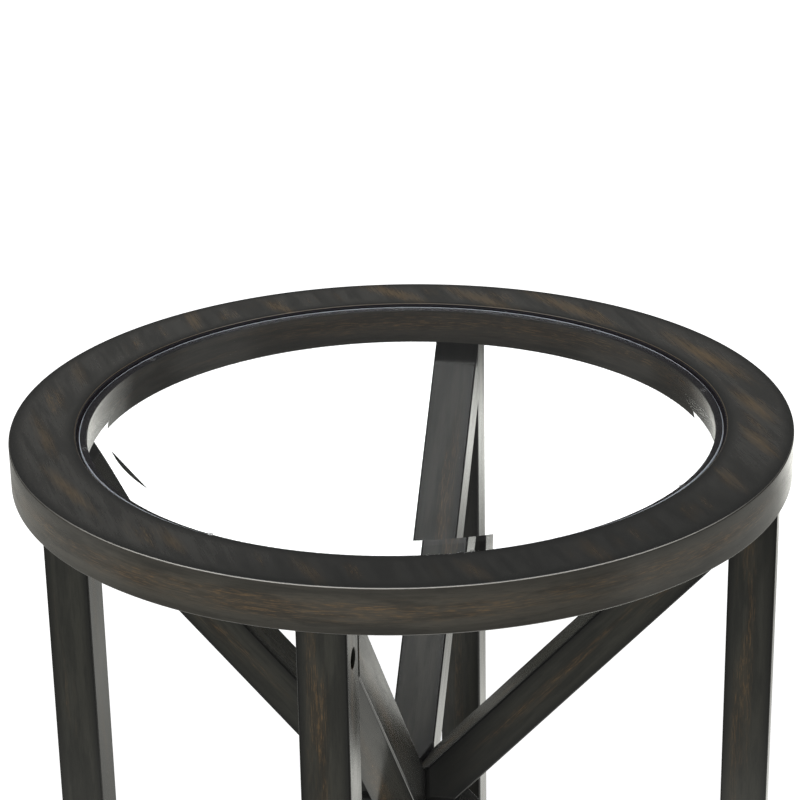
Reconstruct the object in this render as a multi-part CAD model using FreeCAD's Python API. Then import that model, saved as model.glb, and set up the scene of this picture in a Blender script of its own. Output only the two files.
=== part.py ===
import FreeCAD, Part
import math
import os

os.makedirs("parts", exist_ok=True)

# Wooden ring with a rebate for the glass, in millimetres
ring_diameter = 610.0
ring_thickness = 36.3
rim_width = 51.5
ledge_width = 9.0
rebate_depth = 6.5
ring_edge_radius = 1.5
rebate_edge_radius = 1.2

# Bevelled glass, loose in the rebate on soft clear pads
glass_thickness = 5.0
glass_edge_gap = 2.5
glass_arris = 1.0
bevel_width = 22.0
bevel_drop = 1.3
pad_diameter = 6.0
pad_thickness = 0.8
pad_count = 8

# Square legs, set in from the edge of the ring
leg_side = 36.5
leg_length = 596.0
leg_inset = 9.0
leg_edge_radius = 1.6

# Braces that cross at mid height, with the arrises of their joints eased
brace_width = 37.5
brace_depth = 35.6
brace_edge_radius = 1.6
brace_head_drop = 3.8
hub_reach = 41.5
mitre_ease = 0.8
seam_ease = 0.5

# Cam lock and bolt that draw each leg up to the ring
cam_drop = 31.5
bore_mouth_ease = 0.4
cam_diameter = 15.0
cam_height = 12.5
cam_head_setback = 8.0
cam_eccentricity = 1.5
cam_recess_length = 7.0
cam_recess_width = 1.4
cam_recess_depth = 2.5
cam_slot_angle = 120.0
cam_entry_angle = 60.0
bolt_thread_diameter = 6.0
bolt_thread_length = 11.0
bolt_collar_diameter = 7.4
bolt_collar_length = 3.0
bolt_shank_diameter = 5.6
bolt_neck_diameter = 4.0
bolt_neck_length = 6.5
bolt_head_diameter = 7.0
bolt_head_length = 4.0
bolt_hole_diameter = 8.0

# Beech dowels
dowel_diameter = 8.0
dowel_chamfer = 0.8
ring_dowel_length = 28.0
ring_dowel_spacing = 22.0
brace_dowel_length = 26.0
brace_dowel_leg_depth = 8.0
brace_dowel_spacing = 18.0
brace_dowel_rise = 7.0
seam_dowel_length = 24.0
seam_dowel_reach_share = 0.68
hub_dowel_diameter = 6.0
hub_dowel_length = 20.0
hub_dowel_reach_share = 0.68
hub_dowel_rise_share = 0.5

# Nail-on glides
glide_diameter = 22.0
glide_height = 4.0
glide_edge_radius = 2.0
glide_floor_skin = 1.4
nail_head_diameter = 8.0
nail_head_thickness = 1.2
nail_diameter = 2.4
nail_length = 17.0

# Clearances
wood_clearance = 0.15
cam_clearance = 0.2
end_clearance = 0.4
overrun = 5.0

quarter_turn = 90.0
full_turn = 360.0

# Turn of each side about the upright axis, and the side of its leg that takes the cam lock
sides = {
    "front": (-quarter_turn, 1),
    "right": (0.0, 1),
    "back": (quarter_turn, 1),
    "left": (2 * quarter_turn, -1),
}

up = FreeCAD.Vector(0, 0, 1)
outward = FreeCAD.Vector(1, 0, 0)
across = FreeCAD.Vector(0, 1, 0)
origin = FreeCAD.Vector(0, 0, 0)

# Heights and radii that follow from the sizes
leg_bottom = glide_height
ring_bottom = leg_bottom + leg_length
ring_top = ring_bottom + ring_thickness
seam_height = leg_bottom + leg_length / 2
ring_radius = ring_diameter / 2
rebate_radius = ring_radius - rim_width
wall_radius = rebate_radius - ledge_width
ledge_height = ring_top - rebate_depth
glass_radius = rebate_radius - glass_edge_gap
leg_radius = ring_radius - leg_inset - leg_side / 2
leg_face_radius = leg_radius - leg_side / 2
cam_axis_height = ring_bottom - cam_drop

# The brace's top starts on the leg's face just under the ring, and its underside ends at the crotch of
# the hub, so its slope follows from the clear height, the clear width and its own depth.
brace_head_height = ring_bottom - brace_head_drop
clear_height = brace_head_height - seam_height
clear_width = leg_face_radius - hub_reach
diagonal = math.hypot(clear_height, clear_width)
brace_slope = math.acos(brace_depth / diagonal) - math.atan2(clear_width, clear_height)
brace_rise = math.tan(brace_slope)
brace_foot_height = seam_height + clear_width * brace_rise
axis_depth = clear_height - leg_face_radius * brace_rise


def vector(x, y, z):
    return FreeCAD.Vector(x, y, z)


def rounded_face(corners):
    # A flat face through corners (u, v, radius), each rounded by its own radius.
    edges = []
    ends = []
    for index, (u, v, radius) in enumerate(corners):
        u_before, v_before, _ = corners[index - 1]
        u_after, v_after, _ = corners[(index + 1) % len(corners)]
        corner = vector(u, v, 0)
        back = (vector(u_before, v_before, 0) - corner).normalize()
        ahead = (vector(u_after, v_after, 0) - corner).normalize()
        half_angle = back.getAngle(ahead) / 2
        setback = radius / math.tan(half_angle)
        start = corner + back * setback
        end = corner + ahead * setback
        if radius > 0:
            middle = corner + (back + ahead).normalize() * (radius / math.sin(half_angle) - radius)
            edges.append(Part.Arc(start, middle, end).toShape())
        ends.append((start, end))
    for index, (start, _) in enumerate(ends):
        edges.append(Part.makeLine(ends[index - 1][1], start))
    return Part.Face(Part.Wire(Part.__sortEdges__(edges)))


def turned(corners):
    # A solid turned about the upright axis from a half profile of corners (radius, height, rounding).
    face = rounded_face(corners)
    face.rotate(origin, outward, quarter_turn)
    return face.revolve(origin, up, full_turn)


def along(shape, base, direction):
    # Stands a shape that was made upright at the origin on a base point, along a direction.
    placed = shape.copy()
    placed.Placement = FreeCAD.Placement(base, FreeCAD.Rotation(up, direction))
    return placed


def upright_bar(depth, width, edge_radius, length):
    # Depth lies along X and width along Y.
    signs = [(-1, -1), (1, -1), (1, 1), (-1, 1)]
    face = rounded_face([(u * depth / 2, v * width / 2, edge_radius) for u, v in signs])
    return face.extrude(up * length)


def dowel(diameter, length, middle, direction):
    radius = diameter / 2
    tip = radius - dowel_chamfer
    peg = turned([
        (0, 0, 0),
        (tip, 0, 0),
        (radius, dowel_chamfer, 0),
        (radius, length - dowel_chamfer, 0),
        (tip, length, 0),
        (0, length, 0),
    ])
    return along(peg, middle - direction * (length / 2), direction)


def dowel_hole(diameter, length, middle, direction):
    depth = length + 2 * end_clearance
    radius = diameter / 2 + wood_clearance
    return Part.makeCylinder(radius, depth, middle - direction * (depth / 2), direction)


# Dowel places on the side whose leg lies along +X: middle and direction of each dowel
ring_dowel_places = [
    (vector(leg_radius + sign * ring_dowel_spacing / 2, 0, ring_bottom), up) for sign in (-1, 1)
]

brace_dowel_middle = leg_face_radius + brace_dowel_leg_depth - brace_dowel_length / 2
brace_dowel_height = brace_foot_height + brace_dowel_rise
upper_brace_dowel_places = [
    (vector(brace_dowel_middle, sign * brace_dowel_spacing / 2, brace_dowel_height), outward)
    for sign in (-1, 1)
]

seam_dowel_places = [(vector(hub_reach * seam_dowel_reach_share, 0, seam_height), up)]

# A hub dowel crosses a mitre square to it, half way up the brace at that place.
hub_dowel_place = brace_width / 2 * hub_dowel_reach_share
hub_dowel_height = seam_height + (axis_depth + hub_dowel_place * brace_rise) * hub_dowel_rise_share
upper_hub_dowel_places = [
    (vector(hub_dowel_place, sign * hub_dowel_place, hub_dowel_height), vector(1, -sign, 0).normalize())
    for sign in (-1, 1)
]


def mirrored(places):
    return [(vector(at.x, at.y, 2 * seam_height - at.z), direction) for at, direction in places]


lower_brace_dowel_places = mirrored(upper_brace_dowel_places)
lower_hub_dowel_places = mirrored(upper_hub_dowel_places)


def holes(diameter, length, places):
    return [dowel_hole(diameter, length, middle, direction) for middle, direction in places]


def dowels(diameter, length, places):
    return [dowel(diameter, length, middle, direction) for middle, direction in places]


def make_ring():
    return turned([
        (ring_radius, ring_bottom, ring_edge_radius),
        (ring_radius, ring_top, ring_edge_radius),
        (rebate_radius, ring_top, rebate_edge_radius),
        (rebate_radius, ledge_height, 0),
        (wall_radius, ledge_height, rebate_edge_radius),
        (wall_radius, ring_bottom, ring_edge_radius),
    ])


def make_glass():
    bottom = ledge_height + pad_thickness
    top = bottom + glass_thickness
    edge_top = top - bevel_drop
    return turned([
        (0, bottom, 0),
        (glass_radius - glass_arris, bottom, 0),
        (glass_radius, bottom + glass_arris, 0),
        (glass_radius, edge_top - glass_arris, 0),
        (glass_radius - glass_arris, edge_top, 0),
        (glass_radius - bevel_width, top, 0),
        (0, top, 0),
    ])


def make_pads():
    pad_circle = (wall_radius + glass_radius) / 2
    pad = Part.makeCylinder(pad_diameter / 2, pad_thickness, vector(pad_circle, 0, ledge_height), up)
    step = full_turn / pad_count
    pads = []
    for index in range(pad_count):
        placed = pad.copy()
        placed.rotate(origin, up, step * (index + 1 / 2))
        pads.append(placed)
    return pads


def make_leg(cam_side):
    leg = upright_bar(leg_side, leg_side, leg_edge_radius, leg_length)
    leg.translate(vector(leg_radius, 0, leg_bottom))
    bore_depth = leg_side / 2 + cam_height - cam_head_setback
    bore_radius = cam_diameter / 2 + cam_clearance
    bore_start = vector(leg_radius, cam_side * (leg_side / 2 + overrun), cam_axis_height)
    inward = across * -cam_side
    bore = Part.makeCylinder(bore_radius, bore_depth + overrun, bore_start, inward)
    mouth_depth = overrun + bore_mouth_ease
    mouth = Part.makeCone(bore_radius + mouth_depth, bore_radius, mouth_depth, bore_start, inward)
    bolt_hole = Part.makeCylinder(
        bolt_hole_diameter / 2,
        cam_drop + overrun,
        vector(leg_radius, 0, cam_axis_height),
        up,
    )
    nail_hole = Part.makeCylinder(
        nail_diameter / 2 + wood_clearance,
        nail_length + overrun,
        vector(leg_radius, 0, leg_bottom - overrun),
        up,
    )
    cuts = [bore, mouth, bolt_hole, nail_hole]
    cuts += holes(dowel_diameter, ring_dowel_length, ring_dowel_places)
    cuts += holes(dowel_diameter, brace_dowel_length, upper_brace_dowel_places)
    cuts += holes(dowel_diameter, brace_dowel_length, lower_brace_dowel_places)
    return leg.cut(cuts)


def make_upper_brace():
    reach = (leg_face_radius + brace_width) / math.cos(brace_slope)
    length = reach + 2 * brace_width
    direction = vector(math.cos(brace_slope), 0, math.sin(brace_slope))
    normal = vector(-math.sin(brace_slope), 0, math.cos(brace_slope))
    head = vector(leg_face_radius, 0, brace_head_height)
    start = head - normal * (brace_depth / 2) - direction * reach
    bar = along(upright_bar(brace_depth, brace_width, brace_edge_radius, length), start, direction)
    # A quarter wedge: upright mitres at the hub, the leg's face at the outside and the seam below
    wedge = Part.Face(Part.makePolygon([
        vector(0, 0, seam_height),
        vector(leg_face_radius, -leg_face_radius, seam_height),
        vector(leg_face_radius, leg_face_radius, seam_height),
        vector(0, 0, seam_height),
    ]))
    brace = bar.common(wedge.extrude(up * (clear_height + overrun)))
    cuts = holes(dowel_diameter, brace_dowel_length, upper_brace_dowel_places)
    cuts += holes(dowel_diameter, seam_dowel_length, seam_dowel_places)
    cuts += holes(hub_dowel_diameter, hub_dowel_length, upper_hub_dowel_places)
    half_width = brace_width / 2
    for edge in (-half_width, half_width):
        mitre_end = vector(half_width, edge, seam_height)
        seam_end = vector(0, edge, seam_height)
        cuts.append(Part.makeCylinder(mitre_ease, clear_height, mitre_end, up))
        cuts.append(Part.makeCylinder(seam_ease, leg_face_radius, seam_end, outward))
    return brace.cut(cuts)


def make_lower_brace():
    return make_upper_brace().mirror(vector(0, 0, seam_height), up)


def make_cam(cam_side):
    # Upright cam with its driver face on top. The bolt comes in along +X, and its head sits in an
    # eccentric hollow behind a slot that is as wide as the neck.
    head_height = cam_height - cam_head_setback
    hollow_width = bolt_head_diameter + 2 * cam_clearance
    slot_width = bolt_neck_diameter + 2 * cam_clearance
    hollow_reach = bolt_head_length / 2 + cam_eccentricity
    hollow_radius = math.hypot(hollow_reach, bolt_head_diameter / 2) + cam_clearance
    cam = Part.makeCylinder(cam_diameter / 2, cam_height)
    hollow_bottom = head_height - hollow_width / 2
    slot_bottom = head_height - slot_width / 2
    cut_reach = cam_diameter / 2 + overrun
    hollow = Part.makeCylinder(hollow_radius, hollow_width, vector(-cam_eccentricity, 0, hollow_bottom), up)
    slot = Part.makeCylinder(cut_reach, slot_width, vector(0, 0, slot_bottom), up, cam_slot_angle)
    neck_way = Part.makeCylinder(slot_width / 2, cut_reach, vector(0, 0, head_height), outward)
    entry = Part.makeCylinder(cut_reach, hollow_width, vector(0, 0, hollow_bottom), up, cam_entry_angle)
    entry.rotate(origin, up, cam_slot_angle - cam_entry_angle / 2)
    cuts = [hollow, slot, neck_way, entry]
    for turn in (0, quarter_turn):
        recess = Part.makeBox(
            cam_recess_length,
            cam_recess_width,
            cam_recess_depth + overrun,
            vector(-cam_recess_length / 2, -cam_recess_width / 2, cam_height - cam_recess_depth),
        )
        recess.rotate(origin, up, turn)
        cuts.append(recess)
    cam = cam.cut(cuts)
    # Laid on its side with the bolt's way in pointing up and the driver face at the mouth of the bore
    axes = FreeCAD.Rotation(up, outward, across * cam_side, "XZY")
    cam.Placement = FreeCAD.Placement(vector(leg_radius, -cam_side * head_height, cam_axis_height), axes)
    return cam


def make_bolt():
    # From the head at the cam's axis up to the thread in the ring
    head_bottom = -bolt_head_length / 2
    head_top = bolt_head_length / 2
    neck_top = head_top + bolt_neck_length
    collar_bottom = cam_drop - bolt_collar_length
    tip = cam_drop + bolt_thread_length
    bolt = turned([
        (0, head_bottom, 0),
        (bolt_head_diameter / 2, head_bottom, 0),
        (bolt_head_diameter / 2, head_top, 0),
        (bolt_neck_diameter / 2, head_top, 0),
        (bolt_neck_diameter / 2, neck_top, 0),
        (bolt_shank_diameter / 2, neck_top, 0),
        (bolt_shank_diameter / 2, collar_bottom, 0),
        (bolt_collar_diameter / 2, collar_bottom, 0),
        (bolt_collar_diameter / 2, cam_drop, 0),
        (bolt_thread_diameter / 2, cam_drop, 0),
        (bolt_thread_diameter / 2, tip, 0),
        (0, tip, 0),
    ])
    bolt.translate(vector(leg_radius, 0, cam_axis_height))
    return bolt


def make_bolt_hole():
    return Part.makeCylinder(
        bolt_thread_diameter / 2 + wood_clearance,
        bolt_thread_length + end_clearance + overrun,
        vector(leg_radius, 0, ring_bottom - overrun),
        up,
    )


def make_glide():
    pocket_radius = nail_head_diameter / 2 + wood_clearance
    glide = turned([
        (0, 0, 0),
        (glide_diameter / 2, 0, glide_edge_radius),
        (glide_diameter / 2, glide_height, 0),
        (pocket_radius, glide_height, 0),
        (pocket_radius, glide_floor_skin, 0),
        (0, glide_floor_skin, 0),
    ])
    glide.translate(vector(leg_radius, 0, 0))
    return glide


def make_nail():
    shank_bottom = glide_floor_skin + nail_head_thickness
    tip = leg_bottom + nail_length - end_clearance
    nail = turned([
        (0, glide_floor_skin, 0),
        (nail_head_diameter / 2, glide_floor_skin, 0),
        (nail_head_diameter / 2, shank_bottom, 0),
        (nail_diameter / 2, shank_bottom, 0),
        (nail_diameter / 2, tip - nail_diameter, 0),
        (0, tip, 0),
    ])
    nail.translate(vector(leg_radius, 0, 0))
    return nail


def turned_to(shape, turn):
    placed = shape.copy()
    placed.rotate(origin, up, turn)
    return placed


def round_the_table(shapes):
    return [turned_to(shape, turn) for turn, _ in sides.values() for shape in shapes]


def save(name, shapes):
    shape = shapes[0] if len(shapes) == 1 else Part.makeCompound(shapes)
    shape.exportStep(os.path.join("parts", name + ".step"))


ring_cuts = holes(dowel_diameter, ring_dowel_length, ring_dowel_places) + [make_bolt_hole()]
save("top_ring", [make_ring().cut(round_the_table(ring_cuts))])
save("glass_panel", [make_glass()])
save("glass_pads", make_pads())

upper_brace = make_upper_brace()
lower_brace = make_lower_brace()
cams = []
for side, (turn, cam_side) in sides.items():
    save("leg_" + side, [turned_to(make_leg(cam_side), turn)])
    save("upper_brace_" + side, [turned_to(upper_brace, turn)])
    save("lower_brace_" + side, [turned_to(lower_brace, turn)])
    cams.append(turned_to(make_cam(cam_side), turn))

save("cam_locks", cams)
save("cam_bolts", round_the_table([make_bolt()]))

one_mitre = upper_hub_dowel_places[-1:] + lower_hub_dowel_places[-1:]
dowel_sets = {
    "ring_dowels": (dowel_diameter, ring_dowel_length, ring_dowel_places),
    "upper_brace_dowels": (dowel_diameter, brace_dowel_length, upper_brace_dowel_places),
    "lower_brace_dowels": (dowel_diameter, brace_dowel_length, lower_brace_dowel_places),
    "seam_dowels": (dowel_diameter, seam_dowel_length, seam_dowel_places),
    "hub_dowels": (hub_dowel_diameter, hub_dowel_length, one_mitre),
}
for name, (diameter, length, places) in dowel_sets.items():
    save(name, round_the_table(dowels(diameter, length, places)))

save("floor_glides", round_the_table([make_glide()]))
save("glide_nails", round_the_table([make_nail()]))
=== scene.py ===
import math
import bpy
from mathutils import Matrix, Vector


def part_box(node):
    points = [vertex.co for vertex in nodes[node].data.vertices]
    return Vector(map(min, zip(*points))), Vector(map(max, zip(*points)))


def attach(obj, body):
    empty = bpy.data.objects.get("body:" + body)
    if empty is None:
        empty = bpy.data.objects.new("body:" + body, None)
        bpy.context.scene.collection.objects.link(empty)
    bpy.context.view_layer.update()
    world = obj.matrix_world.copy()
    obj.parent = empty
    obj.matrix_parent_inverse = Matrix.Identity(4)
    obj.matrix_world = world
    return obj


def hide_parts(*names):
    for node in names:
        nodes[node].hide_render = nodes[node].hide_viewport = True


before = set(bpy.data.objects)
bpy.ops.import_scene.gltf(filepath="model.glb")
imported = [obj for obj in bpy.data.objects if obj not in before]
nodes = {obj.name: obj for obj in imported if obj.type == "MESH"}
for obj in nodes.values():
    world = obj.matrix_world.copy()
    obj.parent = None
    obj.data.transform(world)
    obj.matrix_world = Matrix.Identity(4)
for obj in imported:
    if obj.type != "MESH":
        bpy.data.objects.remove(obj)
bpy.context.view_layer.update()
bpy.context.scene.view_settings.view_transform = "Standard"
print("frame:", len(nodes), "pieces")


# node helpers
def newMaterial(name):
    material = bpy.data.materials.new(name)
    material.use_nodes = True
    material.node_tree.nodes.clear()
    return material, material.node_tree


def fill(tree, node, inputs):
    for key, value in inputs.items():
        if isinstance(value, bpy.types.NodeSocket):
            tree.links.new(value, node.inputs[key])
        else:
            node.inputs[key].default_value = value


def addNode(tree, kind, inputs=None, **settings):
    node = tree.nodes.new("ShaderNode" + kind)
    for key, value in settings.items():
        setattr(node, key, value)
    fill(tree, node, inputs or {})
    return node


def maths(tree, operation, first, second=0.0):
    return addNode(tree, "Math", {0: first, 1: second}, operation=operation).outputs[0]


def times(tree, first, *others):
    for other in others:
        first = maths(tree, "MULTIPLY", first, other)
    return first


def ramp(tree, value, low, high, start=0.0, end=1.0):
    inputs = {"Value": value, "From Min": low, "From Max": high, "To Min": start, "To Max": end}
    return addNode(tree, "MapRange", inputs, interpolation_type="SMOOTHSTEP").outputs[0]


def mixColour(tree, factor, first, second):
    return addNode(tree, "Mix", {0: factor, 6: first, 7: second}, data_type="RGBA").outputs[2]


def mixVector(tree, factor, first, second):
    return addNode(tree, "Mix", {0: factor, 4: first, 5: second}, data_type="VECTOR").outputs[1]


def mixNumber(tree, factor, first, second):
    return addNode(tree, "Mix", {0: factor, 2: first, 3: second}, data_type="FLOAT").outputs[0]


def noise(tree, vector, scale=1.0, detail=2.0, roughness=0.5):
    inputs = {"Vector": vector, "Scale": scale, "Detail": detail, "Roughness": roughness}
    return addNode(tree, "TexNoise", inputs).outputs["Fac"]


def objectPlace(tree):
    return addNode(tree, "TexCoord").outputs["Object"]


def split(tree, vector):
    return addNode(tree, "SeparateXYZ", {0: vector}).outputs


def finishMaterial(tree, shader):
    output = addNode(tree, "OutputMaterial")
    tree.links.new(shader.outputs[0], output.inputs["Surface"])


def give(material, *names):
    for name in names:
        for slot in nodes[name].material_slots:
            slot.material = material


# stained wood: sprayed near-black stain, deeper at the edges of a face, rubbed back to brown along its middle
stainedWood = {
    "stainDeep": (0.015, 0.0155, 0.0150, 1),
    # the pale edge colour stands for wear and for a painted highlight along the ring's outer top edge
    "wornArrisAndHighlight": (0.50, 0.485, 0.45, 1),
    # near-black: dust in the seams and a dark line along arrises, and painted shade in the bores and under the ring
    "dirtAndShade": (0.004, 0.004, 0.004, 1),
    "pore": (0.011, 0.0009),       # length and width, in metres
    "figure": (0.11, 0.0045),
    "rubbed": (0.13, 0.014),
    "cloud": (0.075, 0.011),
    "edgeStart": (0.45, 1.0),
    "driftEdge": (0.40, 0.62),
    "driftDepth": 0.45,
    "poreEdge": (0.48, 0.66),
    "poreDepth": 0.18,
    "figureEdge": (0.46, 0.66),
    "figureDepth": 0.2,
    "laneEdge": (0.05, 0.55),      # from full brown to none, away from the rubbed line
    "hazeEdge": (0.62, 0.86),
    "rubPores": (0.36, 0.50, 1.0, 0.14),      # from, to, and the share of brown left at each
    "rubFigure": (0.30, 0.62, 0.45, 1.0),
    "rubAmount": 0.85,
    "markPores": (0.30, 0.66, 1.0, 0.45),
    "markAmount": 0.72,
    "arrisPatches": (0.30, 0.5, 0.7, 1.0),
    "lineEdge": (0.90, 0.96),
    "roughness": (0.15, 0.20),
    "roughPores": (0.35, 0.7),
    "driftRough": 0.05,
    "poreRelief": 0.6,
    "figureRelief": 0.4,
    "bump": 0.006,
    "bumpHeight": 0.0003,
}


def lacqueredWood(
    tree, stretch, faceShare, lane, worn, stain, edgeDepth, rubbed, arris=0.0, marks=0.0, edgeLine=0.0,
):
    # stretch(length, width): the place in units of a streak; faceShare: 0 along the middle of a face, 1 on its arris;
    # lane: 0 along the line that was rubbed; worn: from 0 to about 0.4, how much more of the lane shows brown;
    # arris: where the edge shows pale, partly wear and partly a painted highlight; marks: rubs listed one by one;
    # edgeLine: a dark line along an arris
    look = stainedWood
    pores = noise(tree, stretch(*look["pore"]), 1.0, 4.0, 0.65)
    figure = noise(tree, stretch(*look["figure"]), 1.0, 3.0, 0.55)
    patches = noise(tree, stretch(*look["rubbed"]), 1.0, 2.0, 0.5)
    cloud = noise(tree, stretch(*look["cloud"]), 1.0, 3.0, 0.6)
    # deeper stain towards the edges and in drifting clouds
    edge = times(tree, ramp(tree, faceShare, *look["edgeStart"]), edgeDepth)
    drift = ramp(tree, cloud, *look["driftEdge"])
    deep = maths(tree, "MAXIMUM", edge, times(tree, drift, look["driftDepth"]))
    base = mixColour(tree, deep, stain, look["stainDeep"])
    darkPores = ramp(tree, pores, *look["poreEdge"], 0.0, look["poreDepth"])
    base = mixColour(tree, darkPores, base, look["stainDeep"])
    darkFigure = ramp(tree, figure, *look["figureEdge"], 0.0, look["figureDepth"])
    base = mixColour(tree, darkFigure, base, look["stainDeep"])
    # brown where the middle was rubbed, broken up by the pores
    middle = ramp(tree, lane, *look["laneEdge"], 1.0, 0.0)
    haze = times(tree, middle, ramp(tree, maths(tree, "ADD", patches, worn), *look["hazeEdge"]))
    lines = ramp(tree, pores, *look["rubPores"])
    rub = times(tree, haze, lines, ramp(tree, figure, *look["rubFigure"]), look["rubAmount"])
    softLines = ramp(tree, pores, *look["markPores"])
    rub = maths(tree, "MAXIMUM", rub, times(tree, marks, softLines, look["markAmount"]))
    colour = mixColour(tree, rub, base, rubbed)
    pale = times(tree, arris, ramp(tree, patches, *look["arrisPatches"]))
    colour = mixColour(tree, pale, colour, look["wornArrisAndHighlight"])
    line = times(tree, ramp(tree, faceShare, *look["lineEdge"]), edgeLine)
    colour = mixColour(tree, line, colour, look["dirtAndShade"])
    rough = ramp(tree, pores, *look["roughPores"], *look["roughness"])
    rough = maths(tree, "ADD", rough, times(tree, drift, look["driftRough"]))
    height = maths(tree, "ADD", times(tree, pores, look["poreRelief"]), times(tree, figure, look["figureRelief"]))
    bump = addNode(tree, "Bump", {"Height": height, "Strength": look["bump"], "Distance": look["bumpHeight"]})
    return colour, rough, bump.outputs[0]


def woodShader(tree, colour, rough, bump):
    shader = addNode(tree, "BsdfPrincipled", {"Base Color": colour, "Roughness": rough, "Normal": bump, "IOR": 1.5})
    finishMaterial(tree, shader)


ring = {
    "rimWidth": 0.0515,
    "ledgeWidth": 0.009,
    "rebateDepth": 0.0065,
    "edgeRound": 0.0015,
    "rebateRound": 0.0012,
    "roundSteps": 6,
    "turnSteps": 288,
    "sharpAngle": math.radians(40),
    "grainAngle": math.radians(-61.4),    # the panel's fibres on the flat faces
    "outerArris": 1.0,
    "outerStart": (0.8, 0.9),             # in shares of half the rim or half the thickness, as the next three
    "topLine": (0.965, 0.976),
    "bandLine": (0.955, 0.970),
    "innerLine": (-0.972, -0.962),
    "lowerArris": 0.3,
    "innerDrop": (0.0006, 0.0003),
    "innerArris": 0.35,
    "innerTan": (0.24, 0.19, 0.13, 1),
    "paleEdgeSide": (0.2, -0.98),             # the side where the outer edge shows palest: wear and a painted highlight
    "paleEdgeReach": (0.15, 0.25),
    "farArris": 0.18,
    "ledgeColour": (0.012, 0.0105, 0.0125, 1),
    "ledgeRough": 0.2,
    # the top's stain is set cooler, partly a painted sheen of the sky, and the inner wall's darker, partly painted
    # shade
    "stainTopAndSheen": (0.066, 0.0650, 0.0605, 1),
    "stainBand": (0.072, 0.0675, 0.0565, 1),
    "stainWallAndShade": (0.056, 0.0515, 0.0435, 1),
    "edgeTop": 0.85,
    "edgeBand": 0.35,
    "shadedSide": (0.50, -0.87),            # and the side towards which the top gets a painted shade
    "shadedReach": (0.14, 0.26),
    "shadedStop": (0.94, 0.955),
    "topSideShade": 0.6,
    "rubbedTop": (0.225, 0.158, 0.088, 1),
    "rubbedBand": (0.180, 0.115, 0.058, 1),
    "wornTop": 0.12,
    "wornBand": 0.27,
    "laneSpread": 0.8,
    "feather": (0.040, 0.0030),
    "featherDepth": 1.5,
    "markEdge": (0.65, 1.95),
    # rub marks on the top: degrees round, radius, lean, half length, half width, depth
    "rubs": [
        (36, 0.277, -51, 0.070, 0.0115, 1.0), (13, 0.277, -60, 0.042, 0.0100, 0.8),
        (-2, 0.279, -62, 0.036, 0.0080, 0.75), (-18, 0.277, -60, 0.026, 0.0090, 0.6),
        (-51, 0.284, -51, 0.024, 0.0090, 0.6), (-69, 0.283, -48, 0.022, 0.0080, 0.6),
        (-92, 0.284, -53, 0.026, 0.0080, 0.6), (-115, 0.276, -55, 0.026, 0.0070, 0.5),
        (-141, 0.279, -50, 0.058, 0.0070, 0.6), (-162, 0.277, -62, 0.050, 0.0065, 0.5),
        (170, 0.283, -66, 0.030, 0.0070, 0.35), (140, 0.283, -66, 0.028, 0.0080, 0.65),
        (124, 0.270, -42, 0.030, 0.0090, 0.65), (102, 0.280, -30, 0.042, 0.0120, 0.8),
        (86, 0.272, -36, 0.050, 0.0110, 0.7), (69, 0.277, -40, 0.064, 0.0110, 0.8),
    ],
}


def rubMarks(tree, place, stretch, height):
    # feathered along the fibres
    wobble = times(tree, noise(tree, stretch(*ring["feather"]), 1.0, 3.0, 0.6), ring["featherDepth"])
    marks = 0.0
    for degrees, radius, lean, length, width, depth in ring["rubs"]:
        turn = math.radians(degrees)
        local = addNode(tree, "Mapping", {
            "Vector": place, "Location": (radius * math.cos(turn), radius * math.sin(turn), height),
            "Rotation": (0, 0, math.radians(lean)), "Scale": (length, width, 1),
        }, vector_type="TEXTURE").outputs[0]
        away = addNode(tree, "VectorMath", {0: local}, operation="LENGTH").outputs["Value"]
        mark = ramp(tree, maths(tree, "ADD", away, wobble), *ring["markEdge"], depth, 0.0)
        marks = maths(tree, "MAXIMUM", marks, mark)
    return marks


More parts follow.
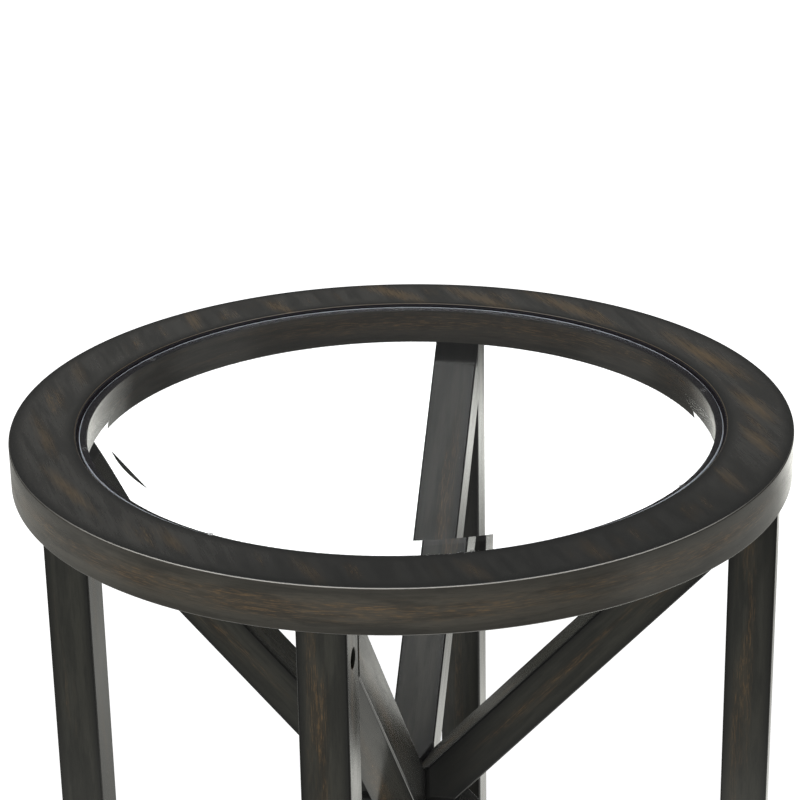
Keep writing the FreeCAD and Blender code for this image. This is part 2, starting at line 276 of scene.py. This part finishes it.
def ringWood():
    material, tree = newMaterial("ring_wood")
    low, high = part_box("top_ring")
    place = objectPlace(tree)
    x, y, z = split(tree, place)
    radius = maths(tree, "SQRT", maths(tree, "ADD", times(tree, x, x), times(tree, y, y)))
    normal = addNode(tree, "NewGeometry").outputs["Normal"]
    flat = maths(tree, "GREATER_THAN", maths(tree, "ABSOLUTE", split(tree, normal)[2]), 0.7)
    level = addNode(tree, "Mapping", {"Vector": place, "Rotation": (0, 0, -ring["grainAngle"])}).outputs[0]

    def stretch(length, width):
        # one straight grain on the flat faces, round the curve on the band and the wall
        straight = addNode(tree, "Mapping", {"Vector": level, "Scale": (1 / length, 1 / width, 1 / width)}).outputs[0]
        curved = addNode(tree, "Mapping", {"Vector": place, "Scale": (1 / length, 1 / length, 1 / width)}).outputs[0]
        return mixVector(tree, flat, curved, straight)

    def towards(side):
        eastward, northward = side
        return maths(tree, "ADD", times(tree, x, eastward), times(tree, y, northward))

    rim = ring["rimWidth"] / 2
    half = (high.z - low.z) / 2
    fromMiddle = maths(tree, "DIVIDE", maths(tree, "SUBTRACT", radius, high.x - rim), rim)
    flatShare = maths(tree, "ABSOLUTE", fromMiddle)
    fromLevel = maths(tree, "SUBTRACT", z, low.z + half)
    bandShare = maths(tree, "DIVIDE", maths(tree, "ABSOLUTE", fromLevel), half)
    faceShare = mixNumber(tree, flat, bandShare, flatShare)
    outer = mixNumber(
        tree, flat, ramp(tree, bandShare, *ring["bandLine"]), ramp(tree, fromMiddle, *ring["topLine"]),
    )
    nearTop = [high.z - drop for drop in ring["innerDrop"]]
    inner = times(tree, ramp(tree, fromMiddle, *ring["innerLine"], 1.0, 0.0), ramp(tree, z, *nearTop))
    # the pale outer edge: worn, and a painted highlight that is strongest on one side
    arris = times(
        tree, outer, ramp(tree, fromMiddle, *ring["outerStart"]),
        ramp(tree, towards(ring["paleEdgeSide"]), *ring["paleEdgeReach"], ring["farArris"], ring["outerArris"]),
        ramp(tree, fromLevel, -half / 2, half / 2, ring["lowerArris"], 1.0),
    )
    worn = mixNumber(tree, flat, ring["wornBand"], ring["wornTop"])
    rubbed = mixColour(tree, flat, ring["rubbedBand"], ring["rubbedTop"])
    marks = times(tree, flat, rubMarks(tree, place, stretch, high.z))
    # darker towards the inner wall, partly painted shade
    upright = mixColour(tree, ramp(tree, fromMiddle, -0.9, 0.9), ring["stainWallAndShade"], ring["stainBand"])
    stain = mixColour(tree, flat, upright, ring["stainTopAndSheen"])
    edgeDepth = mixNumber(tree, flat, ring["edgeBand"], ring["edgeTop"])
    lane = times(tree, faceShare, ring["laneSpread"])
    colour, rough, bump = lacqueredWood(
        tree, stretch, faceShare, lane, worn, stain, edgeDepth, rubbed, arris=arris, marks=marks,
    )
    # painted shade: the top darker towards one side, short of the outer edge
    deep = times(
        tree, flat, ramp(tree, towards(ring["shadedSide"]), *ring["shadedReach"], 0.0, ring["topSideShade"]),
        ramp(tree, fromMiddle, *ring["shadedStop"], 1.0, 0.0),
    )
    colour = mixColour(tree, deep, colour, stainedWood["stainDeep"])
    colour = mixColour(tree, times(tree, inner, ring["innerArris"]), colour, ring["innerTan"])
    # the rebate is far darker, never rubbed or polished
    wall = high.x - ring["rimWidth"]
    ledge = high.z - ring["rebateDepth"]
    inside = ramp(tree, radius, wall + 0.0001, wall + 0.0004, 1.0, 0.0)
    above = ramp(tree, z, ledge - 0.0006, ledge - 0.0002)
    rebate = times(tree, inside, above)
    colour = mixColour(tree, rebate, colour, ring["ledgeColour"])
    rough = mixNumber(tree, rebate, rough, ring["ledgeRough"])
    woodShader(tree, colour, rough, bump)
    return material


def roundedProfile(corners):
    # square corners of the ring's section, each eased by its own radius
    points = []
    for index, (radius, height, ease) in enumerate(corners):
        corner = Vector((radius, height))
        before = (Vector(corners[index - 1][:2]) - corner).normalized() * ease
        after = (Vector(corners[(index + 1) % len(corners)][:2]) - corner).normalized() * ease
        steps = ring["roundSteps"] if ease else 0
        for step in range(steps + 1):
            angle = math.pi / 2 * step / max(steps, 1)
            points.append(corner + before * (1 - math.sin(angle)) + after * (1 - math.cos(angle)))
    return points


def turnedRing():
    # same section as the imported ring, turned in even steps so that the light runs cleanly along its edges
    low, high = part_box("top_ring")
    rebate = high.x - ring["rimWidth"]
    wall = rebate - ring["ledgeWidth"]
    ledge = high.z - ring["rebateDepth"]
    profile = roundedProfile([
        (high.x, low.z, ring["edgeRound"]), (high.x, high.z, ring["edgeRound"]),
        (rebate, high.z, ring["rebateRound"]), (rebate, ledge, 0),
        (wall, ledge, ring["rebateRound"]), (wall, low.z, ring["edgeRound"]),
    ])
    count, turns = len(profile), ring["turnSteps"]
    angles = [2 * math.pi * turn / turns for turn in range(turns)]
    points = [(p.x * math.cos(a), p.x * math.sin(a), p.y) for a in angles for p in profile]
    faces = []
    for turn in range(turns):
        here, there = turn * count, (turn + 1) % turns * count
        faces += [(here + i, there + i, there + (i + 1) % count, here + (i + 1) % count) for i in range(count)]
    mesh = bpy.data.meshes.new("turned_ring")
    mesh.from_pydata(points, [], faces)
    mesh.polygons.foreach_set("use_smooth", [True] * len(faces))
    mesh.set_sharp_from_angle(angle=ring["sharpAngle"])
    piece = bpy.data.objects.new("turned_ring", mesh)
    bpy.context.scene.collection.objects.link(piece)
    evenLight = piece.modifiers.new("flat faces stay flat", "WEIGHTED_NORMAL")
    evenLight.keep_sharp = True
    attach(piece, "table_frame")
    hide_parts("top_ring")
    return piece


turnedRing().data.materials.append(ringWood())
print("ring finished")

bars = {
    "legSide": 0.0365,
    "braceWidth": 0.0375,
    "braceDepth": 0.0356,
    "braceSlope": math.radians(47.88),
    "seamHeight": 0.302,
    "stain": (0.047, 0.0465, 0.0395, 1),
    "edge": 0.85,
    "edgeLine": 0.8,
    "rubbed": (0.200, 0.122, 0.055, 1),
    "sway": (0.30, 10.0),
    "laneSway": 0.6,
    "laneAside": 0.2,
    "seedStep": (1.7, 0.37, 0.53),
    "skinStart": (0.78, 0.88),
    "worn": {"front": 0.28, "right": 0.20, "back": 0.22, "left": 0.13},
    "underRingShade": 0.85,             # painted shadow on a brace's top, close under the ring
    "underRingReach": (-0.022, -0.016),
    "mattRough": 0.75,             # of the painted shadow under the ring and of the dust in the seams
    "seamShade": 0.8,
    "seamReach": (0.001, 0.032),
    "dustReach": (0.0026, 0.0050),
    "hubSideShade": 0.65,             # painted shade on a brace's sides, towards the hub
    "hubSideReach": (0.030, 0.085),
    "sideStart": (0.90, 0.97),
}


def barWood(name, anchor, direction, depth, width, seed, worn, seams=False):
    # fibres along the bar; the anchor lies on its axis
    material, tree = newMaterial(name)
    lift = Vector((0, 0, 1)) if abs(direction.z) < 0.9 else Vector((0, 1, 0))
    across = lift.cross(direction).normalized()
    upward = direction.cross(across)
    turn = Matrix((direction, across, upward)).to_euler()
    fromAxis = addNode(tree, "VectorMath", {0: objectPlace(tree), 1: tuple(anchor)}, operation="SUBTRACT").outputs[0]
    local = addNode(tree, "Mapping", {"Vector": fromAxis, "Rotation": turn}).outputs[0]
    x, y, z = split(tree, local)
    offset = tuple(seed * step for step in bars["seedStep"])
    shifted = addNode(tree, "VectorMath", {0: local, 1: offset}, operation="ADD").outputs[0]

    def stretch(length, width):
        return addNode(tree, "Mapping", {"Vector": shifted, "Scale": (1 / length, 1 / width, 1 / width)}).outputs[0]

    acrossShare = maths(tree, "DIVIDE", maths(tree, "ABSOLUTE", y), width / 2)
    depthShare = maths(tree, "DIVIDE", maths(tree, "ABSOLUTE", z), depth / 2)
    faceShare = maths(tree, "MINIMUM", acrossShare, depthShare)
    # the rubbed lane sways from side to side along the bar
    wide = maths(tree, "GREATER_THAN", depthShare, acrossShare)
    sideways = mixNumber(tree, wide, times(tree, z, 2 / depth), times(tree, y, 2 / width))
    sway = noise(tree, stretch(*bars["sway"]), 1.0, 1.0, 0.5)
    shift = times(tree, maths(tree, "SUBTRACT", sway, 0.5), bars["laneSway"])
    lane = maths(tree, "ABSOLUTE", maths(tree, "ADD", sideways, maths(tree, "ADD", shift, bars["laneAside"])))
    colour, rough, bump = lacqueredWood(
        tree, stretch, faceShare, lane, worn, bars["stain"], bars["edge"], bars["rubbed"],
        edgeLine=bars["edgeLine"],
    )
    # bores painted near-black as shade, and end grain stays dark
    skin = ramp(tree, maths(tree, "MAXIMUM", acrossShare, depthShare), *bars["skinStart"])
    colour = mixColour(tree, skin, stainedWood["dirtAndShade"], colour)
    if seams:
        # darker towards the upright mitres and the level seam of the hub, with dust and glue in the seams themselves,
        # painted shade on a brace's sides near the hub and painted shadow on its top under the ring
        east, north, height = split(tree, objectPlace(tree))
        mitre = maths(tree, "SUBTRACT", maths(tree, "ABSOLUTE", east), maths(tree, "ABSOLUTE", north))
        level = maths(tree, "SUBTRACT", height, bars["seamHeight"])
        gap = maths(tree, "MINIMUM", maths(tree, "ABSOLUTE", mitre), maths(tree, "ABSOLUTE", level))
        near = ramp(tree, gap, *bars["seamReach"], bars["seamShade"], 0.0)
        colour = mixColour(tree, near, colour, stainedWood["stainDeep"])
        # painted shade: a brace's sides darker towards the hub
        nearHubShade = ramp(tree, gap, *bars["hubSideReach"], bars["hubSideShade"], 0.0)
        nearHubShade = times(tree, nearHubShade, ramp(tree, acrossShare, *bars["sideStart"]))
        colour = mixColour(tree, nearHubShade, colour, stainedWood["stainDeep"])
        dust = ramp(tree, gap, *bars["dustReach"], 1.0, 0.0)
        colour = mixColour(tree, dust, colour, stainedWood["dirtAndShade"])
        # painted shadow on the top of a brace where it runs under the ring
        shadeUnderRing = times(tree, ramp(tree, x, *bars["underRingReach"], 0.0, bars["underRingShade"]), ramp(tree, z, 0.0, depth / 2))
        colour = mixColour(tree, shadeUnderRing, colour, stainedWood["dirtAndShade"])
        rough = mixNumber(tree, maths(tree, "MAXIMUM", dust, shadeUnderRing), rough, bars["mattRough"])
    woodShader(tree, colour, rough, bump)
    return material


sideTurns = {"front": -90, "right": 0, "back": 90, "left": 180}
for index, (side, degrees) in enumerate(sideTurns.items()):
    turn = Matrix.Rotation(math.radians(degrees), 3, "Z")
    low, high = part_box("leg_" + side)
    middle, width = (low + high) / 2, bars["legSide"]
    leg = barWood("leg_wood_" + side, middle, Vector((0, 0, 1)), width, width, 2 + index, bars["worn"][side])
    give(leg, "leg_" + side)
    for level, rise in (("upper", 1), ("lower", -1)):
        name = level + "_brace_" + side
        low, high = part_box(name)
        slope = bars["braceSlope"] * rise
        direction = turn @ Vector((math.cos(slope), 0, math.sin(slope)))
        # the head of the brace touches the leg; its axis lies half a depth under that corner
        reach = max(abs(low.x), abs(high.x), abs(low.y), abs(high.y))
        head = turn @ Vector((reach, 0, high.z if rise > 0 else low.z))
        normal = turn @ Vector((-math.sin(slope), 0, math.cos(slope))) * rise
        anchor = head - normal * bars["braceDepth"] / 2
        seed = 9 + 2 * index + rise
        depth, width = bars["braceDepth"], bars["braceWidth"]
        brace = barWood("wood_" + name, anchor, direction, depth, width, seed, bars["worn"][side], True)
        give(brace, name)
print("legs and braces finished")

glass = {
    "tint": (0.985, 0.995, 0.995, 1),
    "groundEdge": (0.80, 0.87, 0.96, 1),
    "groundWidth": 0.0008,
    "groundDepth": 0.0044,
    "groundRough": 0.45,
    "groundClear": 0.25,
    "groundFade": 0.0002,
    "smear": 0.02,
    "smearScale": 9.0,
    "smearEdge": (0.5, 0.8),
    "specular": 0.18,
}


def clearGlass():
    material, tree = newMaterial("clear_glass")
    low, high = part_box("glass_panel")
    place = objectPlace(tree)
    x, y, z = split(tree, place)
    radius = maths(tree, "SQRT", maths(tree, "ADD", times(tree, x, x), times(tree, y, y)))
    start = high.x - glass["groundWidth"]
    bottom = high.z - glass["groundDepth"]
    fade = glass["groundFade"]
    ground = times(tree, ramp(tree, radius, start, start + fade), ramp(tree, z, bottom - fade, bottom))
    smears = ramp(tree, noise(tree, place, glass["smearScale"], 3.0, 0.6), *glass["smearEdge"], 0.0, glass["smear"])
    rough = mixNumber(tree, ground, smears, glass["groundRough"])
    colour = mixColour(tree, ground, glass["tint"], glass["groundEdge"])
    clear = ramp(tree, ground, 0.0, 1.0, 1.0, glass["groundClear"])
    shader = addNode(tree, "BsdfPrincipled", {
        "Base Color": colour, "Roughness": rough, "IOR": 1.5, "Transmission Weight": clear,
    })
    shader.inputs["Specular IOR Level"].default_value = glass["specular"]
    finishMaterial(tree, shader)
    return material


give(clearGlass(), "glass_panel")
nodes["glass_panel"].visible_shadow = False
print("glass finished")

hardware = {
    "cam_zinc": {"nodes": ["cam_locks"], "colour": (0.50, 0.50, 0.52, 1), "metal": 1.0, "rough": (0.35, 0.55)},
    "bolt_steel": {"nodes": ["cam_bolts"], "colour": (0.56, 0.55, 0.52, 1), "metal": 1.0, "rough": (0.25, 0.45)},
    "nail_steel": {"nodes": ["glide_nails"], "colour": (0.48, 0.48, 0.50, 1), "metal": 1.0, "rough": (0.3, 0.5)},
    "glide_nylon": {"nodes": ["floor_glides"], "colour": (0.05, 0.045, 0.04, 1), "metal": 0.0, "rough": (0.4, 0.6)},
}
tarnish = {"colour": (0.02, 0.02, 0.02, 1), "scale": 900.0, "edge": (0.3, 0.7), "depth": 0.25}
for name, look in hardware.items():
    material, tree = newMaterial(name)
    specks = noise(tree, objectPlace(tree), tarnish["scale"], 3.0, 0.6)
    stained = ramp(tree, specks, *tarnish["edge"], 0.0, tarnish["depth"])
    shade = mixColour(tree, stained, look["colour"], tarnish["colour"])
    bump = addNode(tree, "Bump", {"Height": specks, "Strength": 0.1, "Distance": 0.0002}).outputs[0]
    rough = ramp(tree, specks, *tarnish["edge"], *look["rough"])
    shader = addNode(tree, "BsdfPrincipled", {"Base Color": shade, "Roughness": rough, "Normal": bump})
    shader.inputs["Metallic"].default_value = look["metal"]
    finishMaterial(tree, shader)
    give(material, *look["nodes"])

pad = {
    "pale": (0.30, 0.30, 0.30, 1),
    "dark": (0.2, 0.2, 0.2, 1),
    "hazeScale": 400.0,
    "rough": (0.25, 0.4),
    "cover": 0.12,
}
material, tree = newMaterial("clear_pad")
haze = noise(tree, objectPlace(tree), pad["hazeScale"], 3.0, 0.6)
shade = mixColour(tree, haze, pad["pale"], pad["dark"])
rough = ramp(tree, haze, 0.3, 0.7, *pad["rough"])
shader = addNode(tree, "BsdfPrincipled", {"Base Color": shade, "Roughness": rough})
shader.inputs["Alpha"].default_value = pad["cover"]
finishMaterial(tree, shader)
give(material, "glass_pads")
nodes["glass_pads"].visible_shadow = False

beech = {"pale": (0.62, 0.44, 0.27, 1), "dark": (0.47, 0.31, 0.18, 1), "fleckScale": 600.0, "rough": 0.6}
material, tree = newMaterial("beech")
flecks = noise(tree, objectPlace(tree), beech["fleckScale"], 3.0, 0.6)
shade = mixColour(tree, flecks, beech["pale"], beech["dark"])
bump = addNode(tree, "Bump", {"Height": flecks, "Strength": 0.15, "Distance": 0.0003}).outputs[0]
shader = addNode(tree, "BsdfPrincipled", {"Base Color": shade, "Roughness": beech["rough"], "Normal": bump})
finishMaterial(tree, shader)
give(material, "ring_dowels", "upper_brace_dowels", "lower_brace_dowels", "seam_dowels", "hub_dowels")
print("hardware finished")

# studio: white sweep, brighter behind the table than on the camera's side
studio = {
    "floorSize": 16.0,
    "floorColour": (0.82, 0.82, 0.82, 1),
    "bounceColour": (0.5, 0.5, 0.5, 1),
    "lift": (0.62, 1.0),          # takes the lit floor up to white, near the table and far off
    "liftReach": (0.5, 1.6),
    "throughGlass": 0.5,
    "mirrorTint": (1.0, 1.0, 0.94, 1),    # from here to farStart, the floor as the gloss mirrors it
    "frontDim": 0.12,
    "frontStart": (-0.75, -0.35),
    "poolLeft": 0.43,
    "poolRight": 1.15,
    "poolTurn": (-0.10, 0.12),
    "poolEdge": (0.40, 0.60),
    "poolReach": (0.60, 0.95),
    "behindGlow": 1.5,
    "behindStart": (1.05, 1.5),
    "behindLeft": 0.3,
    "behindTurn": (-0.60, -0.20),
    "farDim": 0.04,
    "farStart": (1.45, 1.9),
    "skyFill": 0.128,
    "skyThroughGlass": 1.06,
    "skyGloss": 0.05,             # from here on, the sky as the gloss mirrors it, by height
    "skyTop": 2.2,
    "skyTopStart": (0.75, 0.88),
    "skyTopEnd": (0.90, 0.96),
    "skyZenith": 0.2,
}

mesh = bpy.data.meshes.new("floor")
half = studio["floorSize"] / 2
mesh.from_pydata([(-half, -half, 0), (half, -half, 0), (half, half, 0), (-half, half, 0)], [], [(0, 1, 2, 3)])
floor = bpy.data.objects.new("floor", mesh)
bpy.context.scene.collection.objects.link(floor)

material, tree = newMaterial("floor_white")
place = objectPlace(tree)
path = addNode(tree, "LightPath").outputs
distance = addNode(tree, "VectorMath", {0: place}, operation="LENGTH").outputs["Value"]
east, north = split(tree, place)[:2]
pool = mixNumber(
    tree, ramp(tree, distance, *studio["poolReach"]),
    ramp(tree, east, *studio["poolTurn"], studio["poolLeft"], studio["poolRight"]),
    ramp(tree, east, *studio["poolTurn"], *studio["poolEdge"]),
)
pool = times(tree, pool, ramp(tree, north, *studio["frontStart"], studio["frontDim"], 1.0))
behind = ramp(tree, north, *studio["behindStart"], 0.0, studio["behindGlow"])
behind = times(tree, behind, ramp(tree, east, *studio["behindTurn"], studio["behindLeft"], 1.0))
fading = ramp(tree, distance, *studio["farStart"], 1.0, studio["farDim"])
mirrored = times(tree, maths(tree, "ADD", pool, behind), fading)
bounced = maths(tree, "MINIMUM", path["Diffuse Depth"], 1.0)
reflected = maths(tree, "MINIMUM", path["Glossy Depth"], 1.0)
lift = ramp(tree, distance, *studio["liftReach"], *studio["lift"])
lift = maths(tree, "ADD", lift, times(tree, path["Is Transmission Ray"], studio["throughGlass"]))
lift = mixNumber(tree, bounced, lift, 0.0)
white = addNode(tree, "Emission", {"Color": (1, 1, 1, 1), "Strength": lift})
shade = mixColour(tree, bounced, studio["floorColour"], studio["bounceColour"])
matt = addNode(tree, "BsdfDiffuse", {"Color": shade})
lit = addNode(tree, "AddShader", {0: matt.outputs[0], 1: white.outputs[0]})
mirror = addNode(tree, "Emission", {"Color": studio["mirrorTint"], "Strength": mirrored})
inGloss = times(tree, reflected, maths(tree, "SUBTRACT", 1.0, bounced))
finishMaterial(tree, addNode(tree, "MixShader", {0: inGloss, 1: lit.outputs[0], 2: mirror.outputs[0]}))
mesh.materials.append(material)

world = bpy.data.worlds.new("studio")
bpy.context.scene.world = world
world.use_nodes = True
tree = world.node_tree
tree.nodes.clear()
path = addNode(tree, "LightPath").outputs
bounced = maths(tree, "MINIMUM", path["Diffuse Depth"], 1.0)
reflected = maths(tree, "MINIMUM", path["Glossy Depth"], 1.0)
height = split(tree, addNode(tree, "TexCoord").outputs["Generated"])[2]
topGlow = times(
    tree, ramp(tree, height, *studio["skyTopStart"], 0.0, studio["skyTop"]),
    ramp(tree, height, *studio["skyTopEnd"], 1.0, studio["skyZenith"]),
)
gloss = maths(tree, "ADD", topGlow, studio["skyGloss"])
level = mixNumber(tree, path["Is Transmission Ray"], 1.0, studio["skyThroughGlass"])
level = mixNumber(tree, reflected, level, gloss)
level = mixNumber(tree, bounced, level, studio["skyFill"])
sky = addNode(tree, "Background", {"Color": (1, 1, 1, 1), "Strength": level})
output = addNode(tree, "OutputWorld")
tree.links.new(sky.outputs[0], output.inputs["Surface"])

lamps = {
    "overhead": {"at": (-0.1, 0.4, 2.6), "size": (2.6, 0.5), "power": 25.0},
    "frontFill": {"at": (-0.5, -3.0, 1.3), "size": (2.0, 1.6), "power": 58.0},
}
lampAim = Vector((0, 0, 0.5))    # about the middle of the table
for name, lamp in lamps.items():
    light = bpy.data.lights.new(name, "AREA")
    light.shape = "RECTANGLE"
    light.size, light.size_y = lamp["size"]
    light.energy = lamp["power"]
    holder = bpy.data.objects.new(name, light)
    holder.location = lamp["at"]
    holder.visible_glossy = holder.visible_transmission = False    # no bright squares in the glass or the lacquer
    holder.rotation_euler = (lampAim - Vector(lamp["at"])).to_track_quat("-Z", "Y").to_euler()
    bpy.context.scene.collection.objects.link(holder)
print("studio set")

camera = {
    "azimuth": math.radians(11.249),   # swung from straight ahead towards the right leg
    "distance": 1.8957,                # level distance to the table's axis
    "rise": 0.7876,                    # above the top of the ring
    "yaw": math.radians(0.0143),
    "pitch": math.radians(22.232),
    "roll": math.radians(-1.031),
    "lens": 117.96,
    "sensor": 36.0,
}
lensData = bpy.data.cameras.new("camera")
lensData.lens = camera["lens"]
lensData.sensor_width = camera["sensor"]
viewer = bpy.data.objects.new("camera", lensData)
swing = Matrix.Rotation(camera["azimuth"], 4, "Z")
tilt = Matrix.Rotation(math.pi / 2 - camera["pitch"], 4, "X")
standing = Vector((0, -camera["distance"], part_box("top_ring")[1].z + camera["rise"]))
viewer.matrix_world = (
    Matrix.Translation(swing @ standing)
    @ swing @ Matrix.Rotation(camera["yaw"], 4, "Z") @ tilt @ Matrix.Rotation(camera["roll"], 4, "Z")
)
bpy.context.scene.collection.objects.link(viewer)
bpy.context.scene.camera = viewer
print("camera set")
